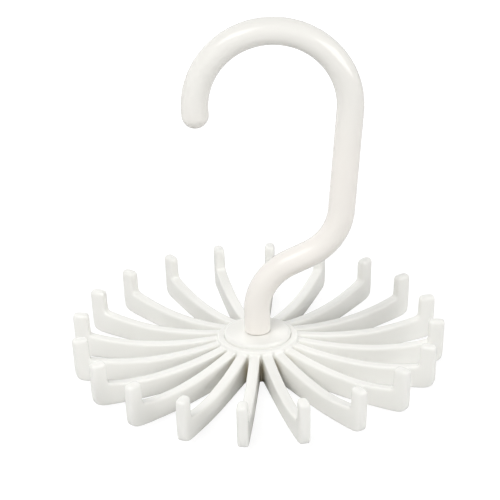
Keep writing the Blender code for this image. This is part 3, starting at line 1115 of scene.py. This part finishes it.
class HANGER_OT_stage(bpy.types.Operator):
    """Set up the floor, the soft lights and the camera"""

    bl_idname = "hanger.stage"
    bl_label = "Studio stage"

    FLOOR_DROP = 0.0001
    FLOOR_COLOUR = (0.70, 0.70, 0.70, 1)
    FLOOR_ROUGHNESS = 0.9
    FLOOR_SPECULAR = 0.1
    FLOOR_GLOW = 1.25
    # Share of the floor's own white glow at the object, and the distances over which it grows to 1
    NEAR_GLOW_SHARE = 0.70
    SHADOW_START = 0.15
    SHADOW_END = 0.45
    LAMP_AIM = (0, 0, 0.06)
    # Each lamp: the name of its power, its place and its two sides
    LAMPS = (
        ("key", (-0.42, -0.55, 0.78), (0.54, 0.38)),
        ("soft", (-0.46, -0.60, 0.85), (0.95, 0.80)),
        ("right", (0.97, -0.76, 0.50), (0.95, 0.64)),
        ("side", (1.25, 0.25, 0.40), (1.00, 1.00)),
        ("rear", (-1.25, 0.30, 0.40), (1.00, 1.00)),
        ("back", (-0.30, 1.0, 0.60), (0.60, 0.60)),
    )
    # Lamps that show in the gloss
    MIRRORED = ("key", "right")
    SENSOR_WIDTH = 36.0
    CLIP_START = 0.01

    def execute(self, context):
        stage = context.scene.hanger_stage
        context.scene.view_settings.view_transform = "Standard"
        self.lay_floor(stage)
        self.light_sky(context, stage)
        for name, place, size in self.LAMPS:
            self.hang_lamp(name, getattr(stage, name), place, size)
        self.set_camera(context, stage)
        return {"FINISHED"}

    def lay_floor(self, stage):
        """A pale floor that looks white to the camera and keeps a soft shadow."""
        bpy.ops.mesh.primitive_plane_add(size=stage.floor_size, location=(0, 0, -self.FLOOR_DROP))
        floor = bpy.context.object
        floor.name = "studio_floor"
        paint = Paint("floor_white")
        paint.feed(
            Base_Color=self.FLOOR_COLOUR, Roughness=self.FLOOR_ROUGHNESS,
            Specular_IOR_Level=self.FLOOR_SPECULAR)
        distance = paint.node("ShaderNodeVectorMath", {0: paint.place}, "Value", operation="LENGTH")
        fade = paint.node("ShaderNodeMapRange", {
            "Value": distance, "From Min": self.SHADOW_START, "From Max": self.SHADOW_END,
            "To Min": self.NEAR_GLOW_SHARE, "To Max": 1.0})
        seen = paint.node("ShaderNodeLightPath", {}, "Is Camera Ray") * fade
        white = paint.node("ShaderNodeEmission", {"Color": WHITE, "Strength": self.FLOOR_GLOW})
        lit = Value(paint, paint.shader.outputs["BSDF"])
        mixed = paint.node("ShaderNodeMixShader", {"Fac": seen, 1: lit, 2: white})
        paint.fill(paint.tree.nodes["Material Output"].inputs["Surface"], mixed)
        floor.data.materials.append(paint.material)

    def light_sky(self, context, stage):
        """Soft light from all round, which the camera and reflections see as plain white."""
        world = bpy.data.worlds.new("studio_sky")
        context.scene.world = world
        world.use_nodes = True
        sky = Nodes(world.node_tree)
        sky.tree.nodes.clear()
        camera = sky.node("ShaderNodeLightPath", {}, "Is Camera Ray")
        glossy = sky.node("ShaderNodeLightPath", {}, "Is Glossy Ray")
        soft, white = (sky.node("ShaderNodeBackground", {"Color": WHITE, "Strength": strength})
                       for strength in (stage.sky, 1.0))
        seen = camera.math("MAXIMUM", glossy)
        mixed = sky.node("ShaderNodeMixShader", {"Fac": seen, 1: soft, 2: white})
        output = sky.tree.nodes.new("ShaderNodeOutputWorld")
        sky.fill(output.inputs["Surface"], mixed)

    def hang_lamp(self, name, power, place, size):
        """Hang a soft box that shines on the object."""
        lamp = bpy.data.lights.new(name, "AREA")
        lamp.energy = power
        lamp.shape = "RECTANGLE"
        lamp.size, lamp.size_y = size
        item = bpy.data.objects.new(name, lamp)
        bpy.context.scene.collection.objects.link(item)
        item.visible_glossy = name in self.MIRRORED
        item.location = place
        aim = Vector(self.LAMP_AIM) - Vector(place)
        item.rotation_euler = aim.to_track_quat("-Z", "Y").to_euler()

    def set_camera(self, context, stage):
        """Stand the camera where the photo was taken from."""
        camera = bpy.data.cameras.new("photo_camera")
        camera.lens = stage.lens
        camera.sensor_width = self.SENSOR_WIDTH
        camera.clip_start = self.CLIP_START
        item = bpy.data.objects.new("photo_camera", camera)
        context.scene.collection.objects.link(item)
        place = Vector(stage.camera_place)
        aim = Vector(stage.camera_aim) - place
        facing = aim.to_track_quat("-Z", "Y").to_matrix().to_4x4()
        roll = Matrix.Rotation(stage.camera_roll, 4, "Z")
        item.matrix_world = Matrix.Translation(place) @ facing @ roll
        context.scene.camera = item


class HANGER_PT_panel(bpy.types.Panel):
    """Buttons and sizes for the hanger"""

    bl_label = "Tie hanger"
    bl_idname = "HANGER_PT_panel"
    bl_space_type = "VIEW_3D"
    bl_region_type = "UI"
    bl_category = "Hanger"

    def draw(self, context):
        scene = context.scene
        for operator in OPERATORS:
            self.layout.operator(operator.bl_idname)
        for group in (scene.hanger_hook, scene.hanger_wheel, scene.hanger_finish, scene.hanger_stage):
            box = self.layout.box()
            for name in group.bl_rna.properties.keys():
                if name not in ("rna_type", "name"):
                    box.prop(group, name)


GROUPS = {
    "hanger_hook": HangerHookSizes,
    "hanger_wheel": HangerWheelSizes,
    "hanger_finish": HangerFinish,
    "hanger_stage": HangerStage,
}
OPERATORS = (
    HANGER_OT_hook, HANGER_OT_wheel, HANGER_OT_disc, HANGER_OT_washer, HANGER_OT_screw, HANGER_OT_stage)
CLASSES = (*GROUPS.values(), *OPERATORS, HANGER_PT_panel)


def register():
    for item in CLASSES:
        bpy.utils.register_class(item)
    for name, group in GROUPS.items():
        setattr(bpy.types.Scene, name, PointerProperty(type=group))


def unregister():
    for name in GROUPS:
        delattr(bpy.types.Scene, name)
    for item in reversed(CLASSES):
        bpy.utils.unregister_class(item)


def main():
    register()
    bpy.ops.hanger.hook()
    bpy.ops.hanger.wheel()
    bpy.ops.hanger.disc()
    bpy.ops.hanger.washer()
    bpy.ops.hanger.screw()
    bpy.ops.hanger.stage()


if __name__ == "__main__":
    main()
